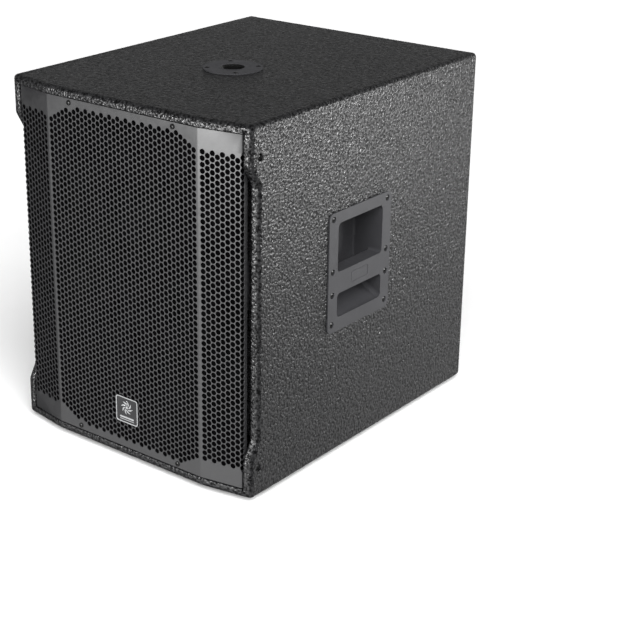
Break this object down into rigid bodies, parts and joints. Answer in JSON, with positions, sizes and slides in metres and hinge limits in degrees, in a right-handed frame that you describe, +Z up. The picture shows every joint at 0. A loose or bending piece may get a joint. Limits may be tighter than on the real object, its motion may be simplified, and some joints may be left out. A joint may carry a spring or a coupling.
{
  "type": "powered subwoofer cabinet",
  "caption": "Black powered subwoofer cabinet with a folded steel grille, side bar handles, a pole socket on top and an amplifier plate in the back.",
  "frame": {"origin": "on the floor, under the middle of the cabinet", "axes": "+Z up, -Y towards the grille, +Y towards the amplifier plate, +X to the right as seen from the amplifier's opposite side, facing the grille"},
  "size_m": [0.5254, 0.652, 0.6385],
  "materials": {
    "coated_plywood": "textured, satin black paint",
    "bare_plywood": "sanded, unpainted",
    "grille_steel": "satin powder coat",
    "black_steel": "black oxide",
    "foam": "open acoustic foam",
    "handle_plastic": "fine grained",
    "rubber": "matt",
    "basket_casting": "black coated casting",
    "plated_steel": "zinc plated",
    "ferrite": "matt",
    "cone_paper": "pressed paper",
    "coil_copper": "wound wire",
    "spider_cloth": "resin-stiffened weave",
    "amp_casting": "fine black powder coat",
    "panel_steel": "satin black",
    "black_plastic": "satin",
    "white_plastic": "satin",
    "silver_metal": "satin",
    "circuit_board": "solder mask",
    "supply_block": "black anodised",
    "cable_jacket": "smooth"
  },
  "bodies": {
    "cabinet": {"top_panel": "coated_plywood", "bottom_panel": "coated_plywood", "left_side_panel": "coated_plywood", "right_side_panel": "coated_plywood", "rear_panel": "coated_plywood", "front_baffle": "coated_plywood", "port_shelf": "bare_plywood", "port_divider": "bare_plywood", "window_brace": "bare_plywood", "foot_front_left": "rubber", "foot_front_right": "rubber", "foot_back_left": "rubber", "foot_back_right": "rubber", "grille": "grille_steel", "grille_foam": "foam", "grille_batten_top": "coated_plywood", "grille_batten_bottom": "coated_plywood", "grille_screw_1": "black_steel", "grille_screw_2": "black_steel", "grille_screw_3": "black_steel", "grille_screw_4": "black_steel", "corner_block_bottom_right": "coated_plywood", "corner_block_bottom_left": "coated_plywood", "corner_block_top_right": "coated_plywood", "corner_block_top_left": "coated_plywood", "badge_plate": "silver_metal", "pole_socket": "handle_plastic", "handle_left": "handle_plastic", "handle_right": "handle_plastic", "woofer_basket": "basket_casting", "woofer_gasket": "rubber", "woofer_terminal": "black_plastic", "surround": "rubber", "spider": "spider_cloth", "woofer_top_plate": "plated_steel", "woofer_magnet": "ferrite", "woofer_yoke": "plated_steel", "amp_plate": "amp_casting", "amp_emblem": "silver_metal", "amp_gasket": "rubber", "input_panel": "panel_steel", "power_panel": "panel_steel", "combo_jack": "black_plastic", "xlr_output": "silver_metal", "status_leds": "white_plastic", "rocker_bezel": "black_plastic", "iec_inlet": "black_plastic", "amp_tray": "plated_steel", "amp_board": "circuit_board", "power_supply": "supply_block", "speaker_cable": "cable_jacket"},
    "cone_assembly": {"woofer_cone": "cone_paper", "dust_cap": "cone_paper", "voice_coil": "coil_copper"},
    "volume_knob": {"volume_knob": "black_plastic"},
    "mode_switch": {"mode_switch": "black_plastic"},
    "filter_button": {"filter_button": "white_plastic"},
    "power_rocker": {"power_rocker": "black_plastic"},
    "fuse_drawer": {"fuse_drawer": "black_plastic"},
    "combo_latch": {"combo_latch": "plated_steel"}
  },
  "joints": [
    {"name": "cone_travel", "type": "slide", "parent": "cabinet", "child": "cone_assembly", "axis": [0, -1, 0], "range_m": [-0.01, 0.01], "stiffness_N_per_m": 6000, "deforming": ["surround", "spider"]},
    {"name": "volume_turn", "type": "hinge", "parent": "cabinet", "child": "volume_knob", "pos_m": [-0.0195, 0.31, 0.4565], "axis": [0, 1, 0], "range_deg": [-150, 150]},
    {"name": "mode_switch_slide", "type": "slide", "parent": "cabinet", "child": "mode_switch", "axis": [1, 0, 0], "range_m": [0, 0.003]},
    {"name": "filter_button_press", "type": "slide", "parent": "cabinet", "child": "filter_button", "axis": [0, -1, 0], "range_m": [0, 0.002], "stiffness_N_per_m": 400},
    {"name": "power_rocker_tilt", "type": "hinge", "parent": "cabinet", "child": "power_rocker", "pos_m": [0.0315, 0.3075, 0.1665], "axis": [0, 0, 1], "range_deg": [0, 20]},
    {"name": "fuse_drawer_slide", "type": "slide", "parent": "cabinet", "child": "fuse_drawer", "axis": [0, 1, 0], "range_m": [0, 0.016]},
    {"name": "combo_latch_press", "type": "slide", "parent": "cabinet", "child": "combo_latch", "axis": [0, 0, -1], "range_m": [0, 0.001], "stiffness_N_per_m": 400}
  ]
}
